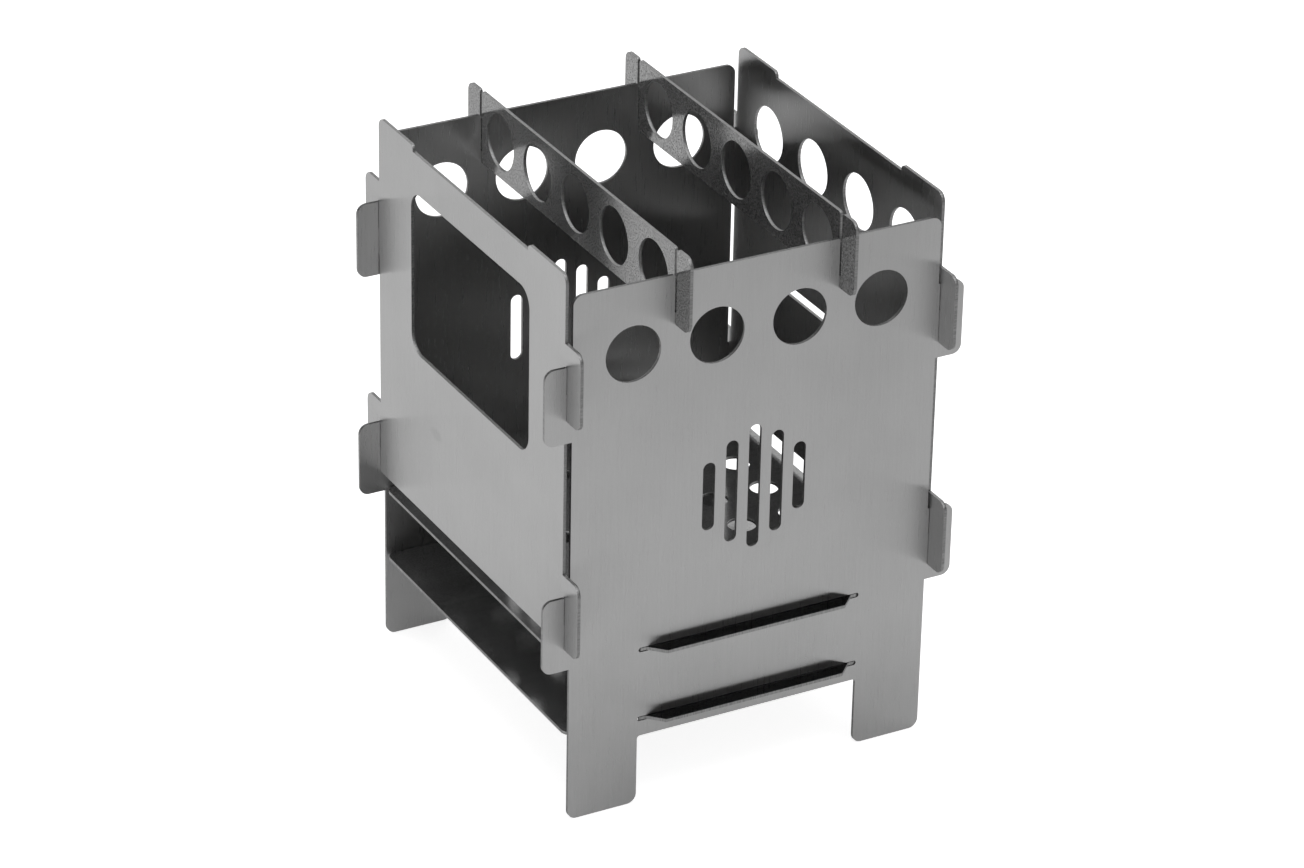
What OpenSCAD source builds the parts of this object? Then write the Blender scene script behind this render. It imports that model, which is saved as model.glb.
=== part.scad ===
// Twig stove: eight flat laser-cut stainless sheets that slot together into a square chimney.
// Two side panels stand on the ground and carry everything. The feed panel and the rear panel
// hook onto their corner tabs, the fire grate and the ash plate pass tabs through their slots,
// and two pot crossbars stand in notches in their top edges.
// The origin is on the ground at the middle of the stove, with +Z up.
// The feed window looks along -Y and the side panels stand at +X and -X.

/* [Sheet and clearances] */
// thickness of every sheet
sheet_t = 1; // [0.8:0.1:1.2]
// clearance on each side of a sheet that stands in a slot of a corner tab or a crossbar
slot_clear = 0.15; // [0.1:0.05:0.25]
// clearance on each side of a crossbar in its notch
notch_clear = 0.25; // [0.15:0.05:0.35]
// height left between the ends of two slots that hook into each other
lap_clear = 0.2; // [0.1:0.05:0.3]

/* [Body] */
// distance over the outer faces of the side panels, along X
body_w = 123; // [118:1:135]
// distance over the outer faces of the feed and rear panels, along Y
body_d = 123; // [118:1:135]
// height of the side panels' top edge above the ground
side_top = 170.7; // [168:0.1:180]
// height of the feed and rear panels' top corners above the ground
end_top = 177; // [174:1:186]
// how far the middle of that top edge lies below the corners
end_dip = 2; // [1:0.5:4]
// half length of the dipped middle
dip_half = 37; // [30:1:45]
// gap between a side panel's edge and the inner face of the feed or rear panel
side_edge_gap = 0.75; // [0.4:0.05:1.5]
// gap between the feed or rear panel's edge and the inner face of a side panel
end_edge_gap = 0.4; // [0.3:0.05:1]
// corner radius of the panels' top corners
panel_r = 3; // [1:0.5:5]

/* [Legs] */
// width of the arch between the two legs of a side panel
arch_w = 74; // [60:1:84]
// height of that arch
arch_h = 22.5; // [16:0.5:24]
// corner radius at the top of the arch
arch_r = 1; // [0.5:0.5:3]
// corner radius of the feet
foot_r = 3; // [1:0.5:5]

/* [Corner tabs] */
// height of every corner tab
tab_h = 24; // [20:1:28]
// height of the side panels' lower tabs above the ground
low_tab_z = 51; // [48:1:54]
// distance from a lower tab to the upper tab over it
tab_pitch = 74; // [60:1:84]
// how much higher the tabs of the feed panel sit
tab_lift = 7; // [5:0.5:9]
// how much higher the tabs of the rear panel sit
rear_tab_lift = 5; // [3:0.5:8]
// how far the side panels' tabs reach past the body
side_reach = 7; // [5:0.5:10]
// how far the feed and rear panels' tabs reach past the body
end_reach = 8; // [5:0.5:10]
// radius of the tabs' outer corners
tab_r = 3; // [1:0.5:5]

/* [Feed window] */
// width of the window in the feed panel
window_w = 76.5; // [60:0.5:90]
// height of the window
window_h = 52.5; // [40:0.5:55]
// distance of the window's upper edge below the panel's top corners
window_drop = 14.5; // [12:0.5:18]
// radius of the window's corners
window_r = 6; // [2:0.5:12]

/* [Round vents] */
// diameter of the vents along the top of the side and rear panels
vent_d = 17.7; // [12:0.1:20]
// distance from vent to vent
vent_pitch = 27; // [24:0.5:28]
// number of vents in a row
vent_n = 4; // [2:1:4]
// distance of their centres below the panel's top corners
vent_drop = 22; // [20:0.5:26]

/* [Side grille] */
// width of one upright slot of the grille in each side panel
grille_slot_w = 4; // [2:0.5:5]
// distance from slot to slot
grille_pitch = 7.5; // [7:0.5:10]
// height of the grille's middle above the ground
grille_z = 97; // [92:1:102]
// lengths of the slots from the middle one outwards
grille_len = [40, 33, 22];

/* [Rear slot] */
// length of the level slot in the rear panel
rear_slot_l = 74; // [40:1:90]
// height of that slot
rear_slot_h = 3.3; // [2:0.1:5]
// height of its middle above the ground
rear_slot_z = 109; // [100:1:120]

/* [Fire grate and ash plate] */
// height of the fire grate's middle plane above the ground
grate_z = 51.5; // [49:0.5:54]
// height of the ash plate's middle plane above the ground
ash_z = 28.25; // [27:0.25:32]
// how far the plates' long edges lie behind the outer faces of the feed and rear panels
plate_inset = 1.5; // [0.75:0.25:4]
// gap between a plate's shoulder and the side panel's inner face
shoulder_gap = 0.3; // [0.2:0.05:1]
// radius of the plates' corners
plate_r = 3; // [1:0.5:6]
// width of a plate's end tab outside the side panel
plate_tab_w = 68.5; // [50:0.5:70]
// how far the end tab reaches past the side panel
plate_reach = 4.5; // [2:0.5:7]
// how far the wider root of that tab ends behind the side panel's outer face
root_inset = 0.1; // [0.05:0.05:0.4]
// gap between each end of that root and the end of its slot
root_clear = 0.7; // [0.5:0.1:1]
// length of the slots in the side panels that take those tabs
plate_slot_l = 74; // [72:1:84]
// height of those slots
plate_slot_h = 1.5; // [1.4:0.1:2]
// diameter of the holes in the fire grate
grate_hole_d = 9; // [6:0.5:12]
// distance from grate hole to grate hole
grate_pitch = 17.8; // [15:0.1:19]
// number of grate holes in a row
grate_n = 6; // [2:1:6]

/* [Pot crossbars] */
// height of a crossbar
bar_h = 23.5; // [21:0.5:26]
// height of a crossbar's lower edge above the ground
bar_z = 155; // [153:0.5:157]
// distance between the two crossbars' middle planes
bar_spacing = 53.5; // [45:0.5:65]
// how far a crossbar reaches past the side panels
bar_reach = 8; // [5:0.5:10]
// depth of the crossbar's slots from its upper edge
bar_up_slot = 9; // [6:0.5:10]
// depth of the crossbar's slots from its lower edge
bar_low_slot = 4; // [3:0.5:6]
// diameter of the holes in a crossbar
bar_hole_d = 17.7; // [12:0.1:18]
// distance from a side panel's outer face to the middle of the end hole
bar_hole_inset = 13.5; // [12.5:0.5:16]
// number of holes in a crossbar
bar_n = 5; // [3:1:5]
// rounding at the mouth of the crossbar slots and of the notches
mouth_r = 0.8; // [0.4:0.1:1.2]

/* [Hidden] */
$fn = 72;
steel_pale = [0.66, 0.66, 0.66];
steel_mid = [0.6, 0.6, 0.6];
steel_dark = [0.3, 0.3, 0.3];
side_half = body_d / 2 - sheet_t - side_edge_gap;
end_half = body_w / 2 - sheet_t - end_edge_gap;
mid_x = body_w / 2 - sheet_t / 2;
mid_y = body_d / 2 - sheet_t / 2;
slot_w = sheet_t + 2 * slot_clear;
notch_w = sheet_t + 2 * notch_clear;
lap_h = (tab_h - tab_lift) / 2;
tab_rows = [0, tab_pitch];
bar_y = bar_spacing / 2;
bar_top = bar_z + bar_h;
notch_floor = bar_z + bar_low_slot - lap_clear;
bar_pitch = (body_w - 2 * bar_hole_inset) / (bar_n - 1);
window_top = end_top - window_drop;
window_bottom = window_top - window_h;
plate_l = body_d - 2 * plate_inset;
plate_half = body_w / 2 - sheet_t - shoulder_gap;
plate_end = body_w / 2 + plate_reach;
plate_tab_half = plate_tab_w / 2;
root_end = body_w / 2 - root_inset;
root_half = plate_slot_l / 2 - root_clear;
// how far a cut runs past the edge that it opens
over = 1;

// What is cut away to round the outline corner at [x, y].
// The turn is 0 for an upper right corner, 90 upper left, 180 lower left and 270 lower right.
module corner_cut(x, y, turn, r) {
    translate([x, y]) rotate(turn) difference() {
        translate([-r, -r]) square(r + over / 2);
        translate([-r, -r]) circle(r);
    }
}

// A rectangle between two opposite corners.
module span(x0, y0, x1, y1) {
    translate([x0, y0]) square([x1 - x0, y1 - y0]);
}

// An upright slot with round ends, centred at [x, y].
module upright_slot(x, y, w, l) {
    translate([x, y]) union() {
        square([w, l - w], center = true);
        for (s = [-1, 1]) translate([0, s * (l - w) / 2]) circle(d = w);
    }
}

// A level slot with round ends, centred at [0, y].
module level_slot(y, l, h) {
    translate([0, y]) union() {
        square([l - h, h], center = true);
        for (s = [-1, 1]) translate([s * (l - h) / 2, 0]) circle(d = h);
    }
}

// A row of round holes centred at [0, y].
module hole_row(n, pitch, y, d) {
    for (i = [0 : n - 1]) translate([(i - (n - 1) / 2) * pitch, y]) circle(d = d);
}

// A cut from an upper edge at y down by depth, with a rounded mouth.
module top_slot(x, y, w, depth) {
    span(x - w / 2, y - depth, x + w / 2, y + over);
    corner_cut(x - w / 2, y, 0, mouth_r);
    corner_cut(x + w / 2, y, 90, mouth_r);
}

// Outline of a side panel, drawn with Y across and Z up.
module side_outline() {
    difference() {
        union() {
            span(-side_half, 0, side_half, side_top);
            for (s = [-1, 1], z = tab_rows) {
                tab_in = side_half - over;
                tab_out = body_d / 2 + side_reach;
                span(s > 0 ? tab_in : -tab_out, low_tab_z + z,
                    s > 0 ? tab_out : -tab_in, low_tab_z + z + tab_h);
            }
        }
        corner_cut(side_half, side_top, 0, panel_r);
        corner_cut(-side_half, side_top, 90, panel_r);
        for (z = tab_rows) {
            corner_cut(body_d / 2 + side_reach, low_tab_z + z + tab_h, 0, tab_r);
            corner_cut(-body_d / 2 - side_reach, low_tab_z + z + tab_h, 90, tab_r);
            corner_cut(-body_d / 2 - side_reach, low_tab_z + z, 180, tab_r);
            corner_cut(body_d / 2 + side_reach, low_tab_z + z, 270, tab_r);
            for (s = [-1, 1])
                span(s * mid_y - slot_w / 2, low_tab_z + z + tab_h - lap_h,
                    s * mid_y + slot_w / 2, low_tab_z + z + tab_h + over);
        }
        difference() {
            span(-arch_w / 2, -over, arch_w / 2, arch_h);
            corner_cut(arch_w / 2, arch_h, 0, arch_r);
            corner_cut(-arch_w / 2, arch_h, 90, arch_r);
        }
        corner_cut(-side_half, 0, 180, foot_r);
        corner_cut(side_half, 0, 270, foot_r);
        corner_cut(arch_w / 2, 0, 180, foot_r);
        corner_cut(-arch_w / 2, 0, 270, foot_r);
        level_slot(grate_z, plate_slot_l, plate_slot_h);
        level_slot(ash_z, plate_slot_l, plate_slot_h);
        hole_row(vent_n, vent_pitch, side_top - vent_drop, vent_d);
        for (i = [-2 : 2])
            upright_slot(i * grille_pitch, grille_z, grille_slot_w, grille_len[abs(i)]);
        for (s = [-1, 1]) top_slot(s * bar_y, side_top, notch_w, side_top - notch_floor);
    }
}

// Outline shared by the feed panel and the rear panel, drawn with X across and Z up.
// The lift is how much higher its tabs sit than those of the side panels.
module end_outline(lift) {
    tab_end = body_w / 2 + end_reach;
    end_bottom = low_tab_z + lift;
    slot_top = low_tab_z + tab_h - lap_h + lap_clear;
    difference() {
        union() {
            span(-end_half, end_bottom, end_half, end_top);
            for (z = tab_rows)
                span(-tab_end, end_bottom + z, tab_end, end_bottom + z + tab_h);
        }
        span(-dip_half, end_top - end_dip, dip_half, end_top + over);
        corner_cut(dip_half, end_top, 90, end_dip * 0.8);
        corner_cut(-dip_half, end_top, 0, end_dip * 0.8);
        corner_cut(end_half, end_top, 0, panel_r);
        corner_cut(-end_half, end_top, 90, panel_r);
        for (z = tab_rows) {
            corner_cut(tab_end, end_bottom + z + tab_h, 0, tab_r);
            corner_cut(-tab_end, end_bottom + z + tab_h, 90, tab_r);
            corner_cut(-tab_end, end_bottom + z, 180, tab_r);
            corner_cut(tab_end, end_bottom + z, 270, tab_r);
            for (s = [-1, 1])
                span(s * mid_x - slot_w / 2, end_bottom + z - over,
                    s * mid_x + slot_w / 2, slot_top + z);
        }
    }
}

// Outline of the fire grate and the ash plate, drawn with X across and Y up.
module plate_outline() {
    difference() {
        union() {
            span(-plate_half, -plate_l / 2, plate_half, plate_l / 2);
            span(-root_end, -root_half, root_end, root_half);
            polygon([[plate_end, plate_tab_half - plate_reach],
                [body_w / 2, plate_tab_half], [-body_w / 2, plate_tab_half],
                [-plate_end, plate_tab_half - plate_reach],
                [-plate_end, plate_reach - plate_tab_half],
                [-body_w / 2, -plate_tab_half], [body_w / 2, -plate_tab_half],
                [plate_end, plate_reach - plate_tab_half]]);
        }
        corner_cut(plate_half, plate_l / 2, 0, plate_r);
        corner_cut(-plate_half, plate_l / 2, 90, plate_r);
        corner_cut(-plate_half, -plate_l / 2, 180, plate_r);
        corner_cut(plate_half, -plate_l / 2, 270, plate_r);
    }
}

// Outline of a crossbar, drawn with X across and Z up.
module bar_outline() {
    bar_end = body_w / 2 + bar_reach;
    difference() {
        span(-bar_end, bar_z, bar_end, bar_top);
        corner_cut(bar_end, bar_top, 0, tab_r);
        corner_cut(-bar_end, bar_top, 90, tab_r);
        corner_cut(-bar_end, bar_z, 180, tab_r);
        corner_cut(bar_end, bar_z, 270, tab_r);
        for (s = [-1, 1]) {
            top_slot(s * mid_x, bar_top, slot_w, bar_up_slot);
            span(s * mid_x - slot_w / 2, bar_z - over,
                s * mid_x + slot_w / 2, bar_z + bar_low_slot);
        }
        hole_row(bar_n, bar_pitch, bar_z + bar_h / 2, bar_hole_d);
    }
}

// Stands an outline drawn with X across and Z up, with its outer face towards -Y at y.
module stand_xz(y) {
    translate([0, y + sheet_t, 0]) rotate([90, 0, 0]) linear_extrude(sheet_t) children();
}

// Stands an outline drawn with Y across and Z up, from x to x plus the sheet thickness.
module stand_yz(x) {
    translate([x, 0, 0]) rotate([90, 0, 90]) linear_extrude(sheet_t) children();
}

module right_side_panel() {
    color(steel_mid) stand_yz(body_w / 2 - sheet_t) side_outline();
}

module left_side_panel() {
    color(steel_mid) stand_yz(-body_w / 2) side_outline();
}

module feed_panel() {
    color(steel_pale) stand_xz(-body_d / 2) difference() {
        end_outline(tab_lift);
        difference() {
            span(-window_w / 2, window_bottom, window_w / 2, window_top);
            corner_cut(window_w / 2, window_top, 0, window_r);
            corner_cut(-window_w / 2, window_top, 90, window_r);
            corner_cut(-window_w / 2, window_bottom, 180, window_r);
            corner_cut(window_w / 2, window_bottom, 270, window_r);
        }
    }
}

module rear_panel() {
    color(steel_pale) stand_xz(body_d / 2 - sheet_t) difference() {
        end_outline(rear_tab_lift);
        hole_row(vent_n, vent_pitch, end_top - vent_drop, vent_d);
        level_slot(rear_slot_z, rear_slot_l, rear_slot_h);
    }
}

module fire_grate() {
    color(steel_dark) translate([0, 0, grate_z - sheet_t / 2]) linear_extrude(sheet_t)
        difference() {
            plate_outline();
            for (j = [0 : grate_n - 1])
                hole_row(grate_n, grate_pitch, (j - (grate_n - 1) / 2) * grate_pitch,
                    grate_hole_d);
        }
}

module ash_plate() {
    color(steel_dark) translate([0, 0, ash_z - sheet_t / 2]) linear_extrude(sheet_t)
        plate_outline();
}

module front_crossbar() {
    color(steel_pale) stand_xz(-bar_y - sheet_t / 2) bar_outline();
}

module rear_crossbar() {
    color(steel_pale) stand_xz(bar_y - sheet_t / 2) bar_outline();
}

right_side_panel();
left_side_panel();
feed_panel();
rear_panel();
fire_grate();
ash_plate();
front_crossbar();
rear_crossbar();
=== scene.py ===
import math

import bpy
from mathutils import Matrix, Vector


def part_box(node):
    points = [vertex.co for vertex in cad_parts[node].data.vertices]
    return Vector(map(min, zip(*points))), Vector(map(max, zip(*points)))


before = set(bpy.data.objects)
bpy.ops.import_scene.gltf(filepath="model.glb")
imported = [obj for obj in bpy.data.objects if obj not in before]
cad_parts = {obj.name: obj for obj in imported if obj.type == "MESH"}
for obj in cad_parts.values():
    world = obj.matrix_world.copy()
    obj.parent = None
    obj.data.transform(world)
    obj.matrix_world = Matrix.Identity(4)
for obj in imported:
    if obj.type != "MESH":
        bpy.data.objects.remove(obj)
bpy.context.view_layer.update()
scene = bpy.context.scene
scene.view_settings.view_transform = "Standard"

X, Y, Z = 0, 1, 2
# nearly all values of a noise lie between these
NOISE_LOW = 0.3
NOISE_HIGH = 0.7


# Node helpers


def empty_tree(owner):
    """The node tree of a material or a world, with nothing in it."""
    owner.use_nodes = True
    owner.node_tree.nodes.clear()
    return owner.node_tree


def add(tree, kind, **settings):
    """A node of that kind; inputs are given by name, the node's own settings with a leading underscore."""
    node = tree.nodes.new(kind)
    for key, value in settings.items():
        if key.startswith("_"):
            setattr(node, key[1:], value)
        else:
            node.inputs[key].default_value = value
    return node


def fill(tree, slot, value):
    """Links a socket to the slot, or writes a plain value in it."""
    if isinstance(value, bpy.types.NodeSocket):
        tree.links.new(value, slot)
    else:
        slot.default_value = value


def math_node(tree, operation, a, b):
    """A Math node of two numbers, which are sockets or values."""
    node = add(tree, "ShaderNodeMath", _operation=operation)
    fill(tree, node.inputs[0], a)
    fill(tree, node.inputs[1], b)
    return node.outputs[0]


def product(tree, *factors):
    """The product of any number of sockets and values."""
    result = factors[0]
    for factor in factors[1:]:
        result = math_node(tree, "MULTIPLY", result, factor)
    return result


def unsigned(tree, value):
    """A number without its sign."""
    node = add(tree, "ShaderNodeMath", _operation="ABSOLUTE")
    tree.links.new(value, node.inputs[0])
    return node.outputs[0]


def vector_math(tree, operation, a, b):
    """A Vector Math node of two vectors, which are sockets or values."""
    node = add(tree, "ShaderNodeVectorMath", _operation=operation)
    fill(tree, node.inputs[0], a)
    fill(tree, node.inputs[1], b)
    return node.outputs["Vector"]


def length(tree, vector):
    """The length of a vector."""
    node = add(tree, "ShaderNodeVectorMath", _operation="LENGTH")
    tree.links.new(vector, node.inputs[0])
    return node.outputs["Value"]


def parts(tree, vector):
    """The X, Y and Z sockets of a vector."""
    node = add(tree, "ShaderNodeSeparateXYZ")
    tree.links.new(vector, node.inputs[0])
    return node.outputs


def unit(tree, axis):
    """A vector of length 1 along an axis."""
    node = add(tree, "ShaderNodeCombineXYZ")
    node.inputs[axis].default_value = 1.0
    return node.outputs[0]


def remap(tree, value, from_lo, from_hi, to_lo, to_hi, smooth=True):
    """The value carried from one range to another, held at its ends."""
    node = add(tree, "ShaderNodeMapRange", _interpolation_type="SMOOTHSTEP" if smooth else "LINEAR")
    tree.links.new(value, node.inputs["Value"])
    for name, number in zip(("From Min", "From Max", "To Min", "To Max"), (from_lo, from_hi, to_lo, to_hi)):
        node.inputs[name].default_value = number
    return node.outputs["Result"]


def noise(tree, coords, stretch, shift, detail=2.0):
    """A noise between 0 and 1 whose features are the given lengths along X, Y and Z, in metres."""
    mapping = add(tree, "ShaderNodeMapping", Location=shift, Scale=[1 / s for s in stretch])
    tree.links.new(coords, mapping.inputs["Vector"])
    texture = add(tree, "ShaderNodeTexNoise", Scale=1.0, Detail=detail, Roughness=0.6)
    tree.links.new(mapping.outputs[0], texture.inputs["Vector"])
    return texture.outputs["Fac"]


def grey(tree, level):
    """A colour whose three parts are one level."""
    combine = add(tree, "ShaderNodeCombineColor")
    for slot in combine.inputs[:3]:
        tree.links.new(level, slot)
    return combine.outputs[0]


def bump(tree, height, strength, distance):
    """A normal bent by a height."""
    node = add(tree, "ShaderNodeBump", Strength=strength, Distance=distance)
    tree.links.new(height, node.inputs["Height"])
    return node.outputs[0]


# Steel: brushed faces with a fine straight grain, and rougher laser-cut edges

# length and width of the grain's scratches and of its wider streaks, in metres
SCRATCH = (0.006, 0.00016)
STREAK = (0.022, 0.0006)
# sizes of the clouds and the specks in a face
CLOUD_SIZE = 0.03
SPECK_SIZE = 0.0005
SPECK_DETAIL = 5.0
# how far the grain moves a face's roughness, and how strong and high it stands
GRAIN_ROUGHNESS = 0.011
GRAIN_STRENGTH = 0.015
GRAIN_HEIGHT = 0.00002
# the grey levels and the gloss of a cut edge
EDGE_TONES = (0.2, 0.34)
EDGE_ROUGHNESS = 0.42
EDGE_ANISOTROPY = 0.8
# the laser's ridges: their length through the sheet, their width, and how strong and high they stand
RIDGE_LENGTH = 0.004
RIDGE_WIDTH = 0.00025
RIDGE_STRENGTH = 0.25
RIDGE_HEIGHT = 0.00004
# how much of a surface's normal lies along the sheet's: up to the first it is edge, from the second face
EDGE_END = 0.3
FACE_START = 0.6
# a stain's darkest level, the radii at which its fade starts and ends, and how X counts half in them
STAIN_LEVEL = 0.91
STAIN_RADII = (0.001, 0.0024)
STAIN_SHAPE = (0.5, 1.0, 1.0)
# width over which a plate's less metallic inner part fades out, up to the side panels' outer faces
INNER_MATT_FADE = 0.002
film_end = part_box("right_side_panel")[1].x


def stained(tree, coords, level, middle):
    """The level, darkened in a faint oval."""
    offset = vector_math(tree, "SUBTRACT", coords, middle)
    reach = length(tree, vector_math(tree, "MULTIPLY", offset, STAIN_SHAPE))
    return product(tree, level, remap(tree, reach, *STAIN_RADII, STAIN_LEVEL, 1.0))


def brushed_face(tree, coords, face_axis, grain_axis, shift, look):
    """The shader of a sheet's two faces."""

    def scratches(long, wide):
        stretch = [wide, wide, wide]
        stretch[grain_axis] = long
        stretch[face_axis] = 1.0
        return noise(tree, coords, stretch, shift)

    fine = product(tree, scratches(*SCRATCH), 0.5)
    grain = math_node(tree, "ADD", fine, product(tree, scratches(*STREAK), 0.5))
    clouds = noise(tree, coords, [CLOUD_SIZE] * 3, shift)
    specks = noise(tree, coords, [SPECK_SIZE] * 3, shift, SPECK_DETAIL)
    level = look["tone"]
    for pattern, depth in ((grain, look["grain"]), (clouds, look["clouds"]), (specks, look["specks"])):
        change = remap(tree, pattern, NOISE_LOW, NOISE_HIGH, -depth, depth, False)
        level = math_node(tree, "ADD", change, level)
    if "stain" in look:
        level = stained(tree, coords, level, look["stain"])

    third_axis = X + Y + Z - face_axis - grain_axis
    metallic = look["metallic"]
    face = add(tree, "ShaderNodeBsdfPrincipled", Metallic=metallic, Anisotropic=look["anisotropy"])
    tree.links.new(grey(tree, level), face.inputs["Base Color"])
    tree.links.new(unit(tree, third_axis), face.inputs["Tangent"])
    smoothest = look["roughness"] - GRAIN_ROUGHNESS
    roughest = look["roughness"] + GRAIN_ROUGHNESS
    roughness = remap(tree, grain, NOISE_LOW, NOISE_HIGH, smoothest, roughest, False)
    tree.links.new(roughness, face.inputs["Roughness"])
    tree.links.new(bump(tree, grain, GRAIN_STRENGTH, GRAIN_HEIGHT), face.inputs["Normal"])
    # painted light: less metallic between the side panels, so the plate there looks lighter than its dark
    # tabs
    if "film" in look:
        aside = unsigned(tree, parts(tree, coords)[X])
        gloss = remap(tree, aside, film_end - INNER_MATT_FADE, film_end, metallic - look["film"], metallic)
        tree.links.new(gloss, face.inputs["Metallic"])
    return face.outputs[0]


def cut_edge(tree, coords, normal, face_axis, shift):
    """The shader of a sheet's edges, with ridges that run through the sheet."""
    stretch = [RIDGE_WIDTH] * 3
    stretch[face_axis] = RIDGE_LENGTH
    ridges = noise(tree, coords, stretch, shift)
    edge = add(tree, "ShaderNodeBsdfPrincipled", Metallic=1.0, Roughness=EDGE_ROUGHNESS,
               Anisotropic=EDGE_ANISOTROPY)
    level = remap(tree, ridges, NOISE_LOW, NOISE_HIGH, *EDGE_TONES)
    tree.links.new(grey(tree, level), edge.inputs["Base Color"])
    along = vector_math(tree, "CROSS_PRODUCT", unit(tree, face_axis), normal)
    tree.links.new(along, edge.inputs["Tangent"])
    tree.links.new(bump(tree, ridges, RIDGE_STRENGTH, RIDGE_HEIGHT), edge.inputs["Normal"])
    return edge.outputs[0]


def steel(name, face_axis, grain_axis, shift, look):
    """A sheet's material.

    face_axis is the sheet's normal, grain_axis the way its grain runs, and shift the place in the endless
    noise that it is cut from, so that no two sheets are marked alike."""
    material = bpy.data.materials.new(name)
    tree = empty_tree(material)
    coords = add(tree, "ShaderNodeTexCoord").outputs["Object"]
    normal = add(tree, "ShaderNodeNewGeometry").outputs["True Normal"]
    squareness = unsigned(tree, parts(tree, normal)[face_axis])
    mix = add(tree, "ShaderNodeMixShader")
    tree.links.new(remap(tree, squareness, EDGE_END, FACE_START, 0.0, 1.0), mix.inputs[0])
    tree.links.new(cut_edge(tree, coords, normal, face_axis, shift), mix.inputs[1])
    tree.links.new(brushed_face(tree, coords, face_axis, grain_axis, shift, look), mix.inputs[2])
    tree.links.new(mix.outputs[0], add(tree, "ShaderNodeOutputMaterial").inputs["Surface"])
    return material


# The faces' finishes: the grey level, and how far the grain, the clouds and the specks move it.
# How much less metallic a plate is between the side panels is a painted difference in light: the same steel
# there catches the even light and looks lighter than its dark tabs. A stain is given by its middle.
panel_look = {"tone": 0.40, "metallic": 1.0, "roughness": 0.28, "anisotropy": 1.0,
              "grain": 0.016, "clouds": 0.012, "specks": 0.006}
feed_look = {**panel_look, "stain": (-0.0216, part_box("feed_panel")[0].y, 0.0889)}
crossbar_look = {"tone": 0.25, "metallic": 0.65, "roughness": 0.15, "anisotropy": 0.3,
                 "grain": 0.015, "clouds": 0.02, "specks": 0.21}
plate_look = {"tone": 0.40, "metallic": 1.0, "roughness": 0.12, "anisotropy": 0.6,
              "grain": 0.06, "clouds": 0.06, "specks": 0.1, "film": 0.17}

finishes = {
    "right_side_panel": steel("steel_right_side", X, Z, (3.1, 7.3, 1.9), panel_look),
    "left_side_panel": steel("steel_left_side", X, Z, (12.7, 4.9, 8.2), panel_look),
    "feed_panel": steel("steel_feed", Y, Z, (5.5, 2.3, 14.8), feed_look),
    "rear_panel": steel("steel_rear", Y, Z, (9.6, 11.4, 3.7), panel_look),
    "front_crossbar": steel("steel_front_crossbar", Y, Z, (1.3, 6.6, 10.5), crossbar_look),
    "rear_crossbar": steel("steel_rear_crossbar", Y, Z, (8.8, 13.2, 6.1), crossbar_look),
    "fire_grate": steel("steel_grate", Z, Y, (2.2, 9.4, 5.3), plate_look),
    "ash_plate": steel("steel_ash_plate", Z, Y, (6.7, 3.5, 12.9), plate_look),
}

# width of the burr that is rubbed off a sheet's corners, and the least turn that counts as one
BURR_WIDTH = 0.00013
BURR_ANGLE = math.radians(50)
# points nearer than this are one
SAME_POINT = 0.00001


def rub_off_burr(sheet):
    """Rounds the sharp edges along both faces of a sheet."""
    weld = sheet.modifiers.new("weld", "WELD")
    weld.merge_threshold = SAME_POINT
    bevel = sheet.modifiers.new("bevel", "BEVEL")
    bevel.width = BURR_WIDTH
    bevel.segments = 2
    bevel.limit_method = "ANGLE"
    bevel.angle_limit = BURR_ANGLE


for node, finish in finishes.items():
    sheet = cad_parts[node]
    for slot in sheet.material_slots:
        slot.material = finish
    rub_off_burr(sheet)


# Floor

FLOOR_SIZE = 12
FLOOR_Z = -0.0002
FLOOR_COLOR = (0.8, 0.8, 0.8, 1)
# what the floor adds to the lamp's light to be white to the eye
SEEN_GLOW = 0.79
# the level direction in which the mirrored floor grows darker, a painted falloff of light
SLOPE = (0.5, 0.87)
# each fade is two distances in metres, and the mirrored floor's glow, or its share, at both
SLOPE_FADE = (-0.15, 0.3, 0.455, 0.2)
# the right fade is a painted falloff of light towards +X
RIGHT_FADE = (0.27, 0.6, 1.0, 0.4)
# the foot fade is a painted shadow round the stove's feet, darkest near the middle
PAINTED_FOOT_SHADOW = (0.07, 0.15, 0.6, 1.0)


def floor_material():
    """Pale and lit by the lamp; it glows white to the eye. In what mirrors it the glow carries a painted
    falloff of light towards +X and +Y, and a painted shadow round the stove's feet.
    """
    material = bpy.data.materials.new("pale_floor")
    tree = empty_tree(material)
    surface = add(tree, "ShaderNodeBsdfDiffuse", Color=FLOOR_COLOR)
    path = add(tree, "ShaderNodeLightPath")
    coords = add(tree, "ShaderNodeTexCoord").outputs["Object"]
    place = parts(tree, coords)
    slope = math_node(tree, "ADD", product(tree, place[X], SLOPE[0]), product(tree, place[Y], SLOPE[1]))
    # painted falloff of light and painted shadow, seen only in what mirrors the floor
    painted_falloff_and_shadow = product(tree, remap(tree, slope, *SLOPE_FADE, False), remap(tree, place[X], *RIGHT_FADE),
                     remap(tree, length(tree, coords), *PAINTED_FOOT_SHADOW))
    mirrored = product(tree, painted_falloff_and_shadow, path.outputs["Is Glossy Ray"])
    seen = product(tree, path.outputs["Is Camera Ray"], SEEN_GLOW)
    glow = add(tree, "ShaderNodeEmission")
    tree.links.new(math_node(tree, "MAXIMUM", seen, mirrored), glow.inputs["Strength"])
    total = add(tree, "ShaderNodeAddShader")
    tree.links.new(surface.outputs[0], total.inputs[0])
    tree.links.new(glow.outputs[0], total.inputs[1])
    tree.links.new(total.outputs[0], add(tree, "ShaderNodeOutputMaterial").inputs["Surface"])
    return material


bpy.ops.mesh.primitive_plane_add(size=FLOOR_SIZE, location=(0, 0, FLOOR_Z))
floor = bpy.context.object
floor.name = "floor"
floor.data.materials.append(floor_material())


# World

# the level direction of the bright backdrop behind the stove
BACKDROP = (-0.876, 0.484)
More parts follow.
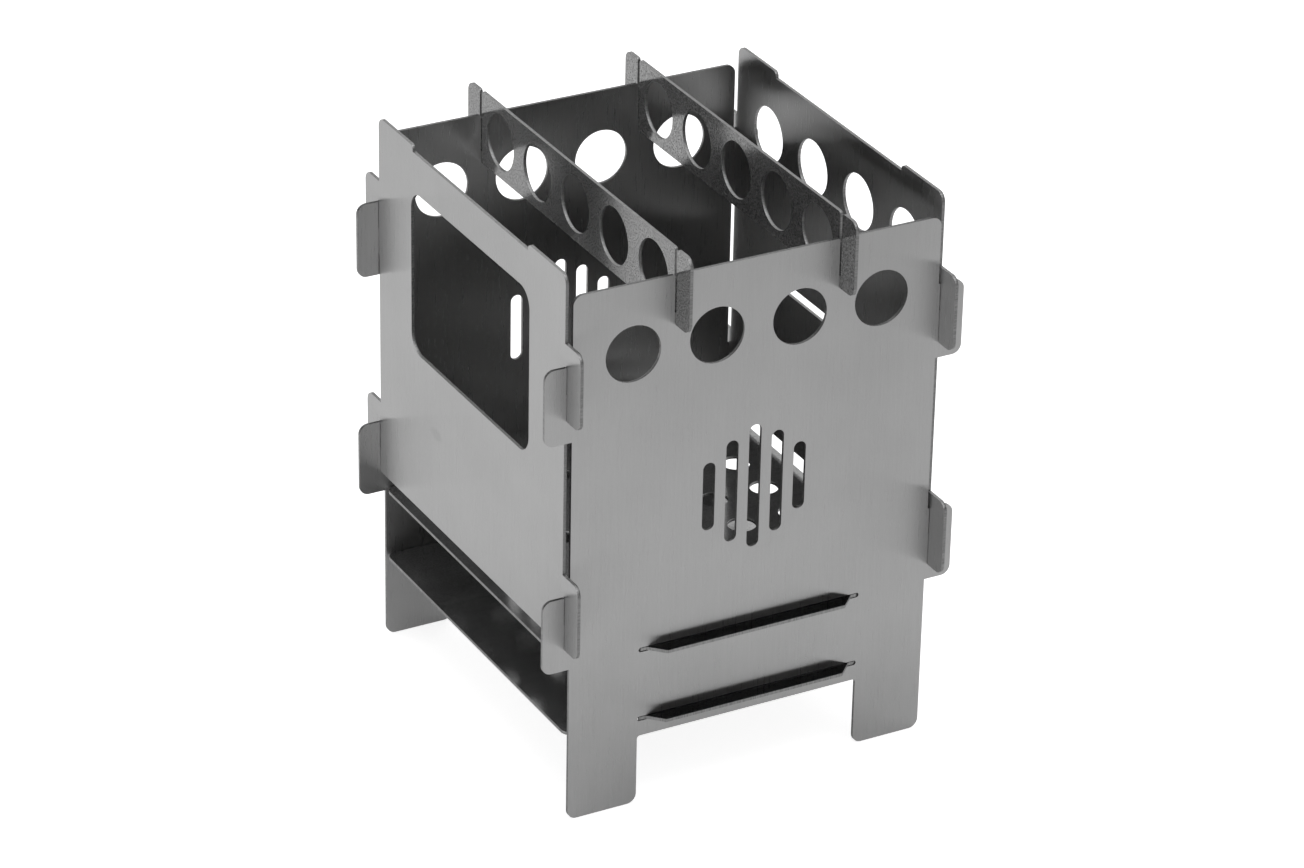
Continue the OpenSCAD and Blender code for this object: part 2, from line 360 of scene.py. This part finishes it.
# each fade is two values of one part of the direction, and the strength, or its share, at both
BACKDROP_SIDES = (0.3, 0.8, 0.0, 1.0)
BACKDROP_TOP = (0.6, 0.9, 1.0, 0.0)
HORIZON_FADE = (0.0, 0.08, 0.3, 0.004)
CANOPY_FADE = (0.6, 0.75, 0.0, 3.0)
CANOPY_SIDE = (0.1, 0.4, 0.0, 1.0)
# strength of the even light that matt surfaces get
AMBIENT = 0.55


def studio_world():
    """Pale behind the stove and at the horizon, dark above, and bright high up on the right in mirrors."""
    world = bpy.data.worlds.new("studio")
    tree = empty_tree(world)
    path = add(tree, "ShaderNodeLightPath")
    x, y, z = parts(tree, add(tree, "ShaderNodeTexCoord").outputs["Generated"])
    behind = math_node(tree, "ADD", product(tree, x, BACKDROP[0]), product(tree, y, BACKDROP[1]))
    backdrop = product(tree, remap(tree, behind, *BACKDROP_SIDES), remap(tree, z, *BACKDROP_TOP))
    canopy = product(tree, remap(tree, z, *CANOPY_FADE), remap(tree, x, *CANOPY_SIDE),
                     path.outputs["Is Glossy Ray"])
    ambient = product(tree, path.outputs["Is Diffuse Ray"], AMBIENT)
    strength = remap(tree, z, *HORIZON_FADE)
    for light in (backdrop, canopy, ambient, path.outputs["Is Camera Ray"]):
        strength = math_node(tree, "MAXIMUM", strength, light)
    background = add(tree, "ShaderNodeBackground")
    tree.links.new(strength, background.inputs["Strength"])
    tree.links.new(background.outputs[0], add(tree, "ShaderNodeOutputWorld").inputs["Surface"])
    return world


scene.world = studio_world()


# Lamp


def softbox(name, location, size, power):
    """A square lamp of that size in metres and power in watts, aimed at the origin."""
    lamp = bpy.data.lights.new(name, "AREA")
    lamp.shape = "SQUARE"
    lamp.size = size
    lamp.energy = power
    holder = bpy.data.objects.new(name, lamp)
    holder.location = location
    holder.rotation_euler = (-holder.location).to_track_quat("-Z", "Y").to_euler()
    scene.collection.objects.link(holder)


softbox("overhead", location=(-0.1, 0.4, 2.2), size=2.8, power=24)


# Camera, at the photograph's viewing angle

# in metres and in degrees
CAMERA_PLACE = (1.17082, -0.64529, 0.78553)
CAMERA_TURN = (62.3396, -1.0374, 61.6881)
SENSOR_WIDTH = 36
LENS = 138.92
NEAR_LIMIT = 0.05

camera = bpy.data.objects.new("camera", bpy.data.cameras.new("camera"))
scene.collection.objects.link(camera)
camera.data.sensor_width = SENSOR_WIDTH
camera.data.lens = LENS
camera.data.clip_start = NEAR_LIMIT
camera.location = CAMERA_PLACE
camera.rotation_euler = [math.radians(angle) for angle in CAMERA_TURN]
scene.camera = camera
